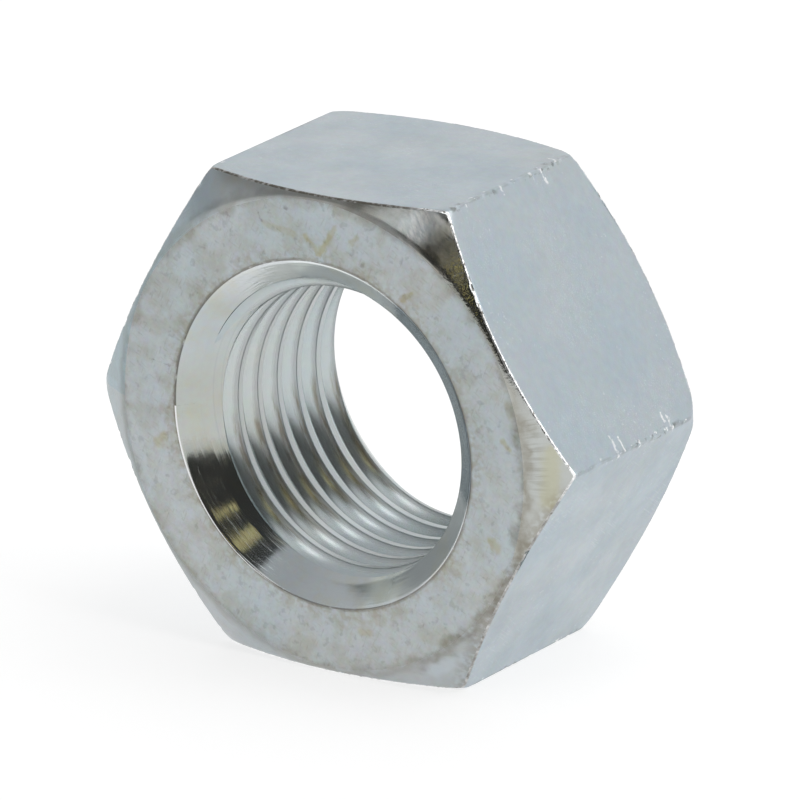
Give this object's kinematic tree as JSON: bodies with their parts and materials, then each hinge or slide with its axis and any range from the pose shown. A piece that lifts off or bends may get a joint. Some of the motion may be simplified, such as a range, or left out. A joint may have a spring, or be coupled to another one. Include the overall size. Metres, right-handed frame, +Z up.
{
  "type": "threaded hexagon nut",
  "caption": "Hexagon nut with a threaded bore, chamfered corners and countersunk thread ends, standing on one flat.",
  "frame": {"origin": "on the thread axis, halfway between the two bearing faces", "axes": "+Y along the thread axis, +Z up across the flat that it stands on, +X across two corners"},
  "size_m": [0.0346, 0.0158, 0.03],
  "materials": {
    "zinc_plated_steel": "bright zinc plating, lightly scuffed"
  },
  "bodies": {
    "root": {"hex_nut": "zinc_plated_steel"}
  },
  "joints": []
}
